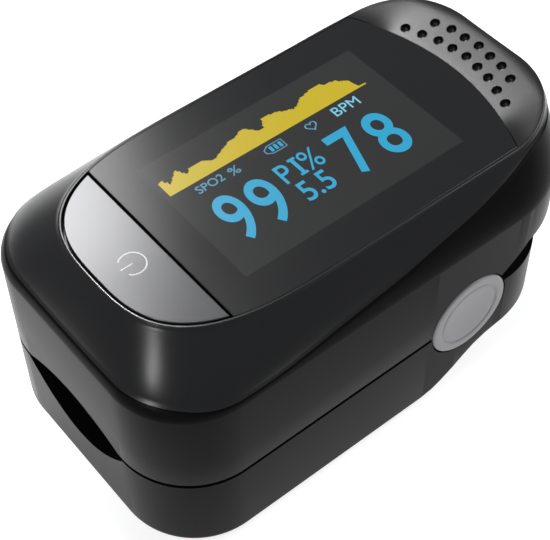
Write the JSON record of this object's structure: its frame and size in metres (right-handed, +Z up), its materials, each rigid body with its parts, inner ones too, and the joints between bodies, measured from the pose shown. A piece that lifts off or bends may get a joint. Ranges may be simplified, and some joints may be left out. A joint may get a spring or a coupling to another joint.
{
  "type": "fingertip pulse oximeter",
  "caption": "Clip-on fingertip pulse oximeter: sprung two-jaw clamshell with padded finger channel, oval display panel, segment power button, ribbed rear grip and round pivot caps.",
  "frame": {"origin": "centre of the bounding box at the flat base, which is at Z = 0", "axes": "+X across the finger, +Y along the finger from the open end towards the pivot and rear grip, +Z up out of the display"},
  "size_m": [0.0362, 0.061, 0.0305],
  "materials": {
    "gloss_black": "glossy moulded ABS, piano black",
    "housing_black": "satin gloss moulded ABS, black",
    "smoked_acrylic": "smoked acrylic with a hard gloss face",
    "button_satin": "satin silver paint on plastic",
    "cap_grey": "grey moulded plastic, fine matt",
    "silicone_black": "moulded silicone, matt",
    "steel": "bright steel",
    "board_green": "green solder resist on glass-epoxy board",
    "chip_black": "black moulding compound",
    "oled_glass": "display glass, dark behind",
    "foam_black": "black foam gasket",
    "cell_silver": "foil pouch",
    "clear_window": "red-tinted clear optical window",
    "flex_amber": "amber polyimide flex",
    "white_plastic": "white moulded nylon"
  },
  "bodies": {
    "lower_jaw": {"lower_housing": "housing_black", "lower_pad": "silicone_black", "detector_window": "clear_window", "photodetector": "chip_black", "detector_board": "board_green", "battery_pack": "cell_silver", "hinge_pin_l": "steel", "hinge_pin_r": "steel", "pivot_cap_l": "cap_grey", "pivot_cap_r": "cap_grey", "torsion_spring_l": "steel", "torsion_spring_r": "steel", "lower_flex": "flex_amber"},
    "upper_jaw": {"top_cover": "gloss_black", "window_lens": "smoked_acrylic", "tact_switch": "steel", "oled_display": "oled_glass", "display_gasket": "foam_black", "display_carrier": "white_plastic", "main_board": "board_green", "mcu_chip": "chip_black", "front_end_chip": "chip_black", "regulator_chip": "chip_black", "beeper": "chip_black", "flex_connector": "white_plastic", "charge_port": "steel", "upper_housing": "housing_black", "housing_screw_l": "steel", "housing_screw_r": "steel", "upper_pad": "silicone_black", "emitter_window": "clear_window", "led_emitter": "white_plastic", "emitter_board": "board_green", "upper_flex": "flex_amber"},
    "button": {"power_button": "button_satin"},
    "plunger": {"switch_plunger": "white_plastic"},
    "door": {"battery_door": "housing_black"}
  },
  "joints": [
    {"name": "jaw_hinge", "type": "hinge", "parent": "lower_jaw", "child": "upper_jaw", "pos_m": [0, 0.01062, 0.01192], "axis": [-1, 0, 0], "range_deg": [0, 12], "stiffness_Nm_per_rad": 0.086, "springref_deg": -20.05, "deforming": ["torsion_spring_l", "torsion_spring_r"]},
    {"name": "button_press", "type": "slide", "parent": "upper_jaw", "child": "button", "axis": [0, 0, -1], "range_m": [0, 0.00025], "stiffness_N_per_m": 1500, "springref_m": -0.0002},
    {"name": "switch_press", "type": "slide", "parent": "upper_jaw", "child": "plunger", "axis": [0, 0, -1], "range_m": [0, 0.00025]},
    {"name": "battery_door_slide", "type": "slide", "parent": "lower_jaw", "child": "door", "axis": [0, 1, 0], "range_m": [0, 0.028]}
  ],
  "couplings": [
    {"joint": "switch_press", "follows": "button_press", "ratio": 1}
  ]
}
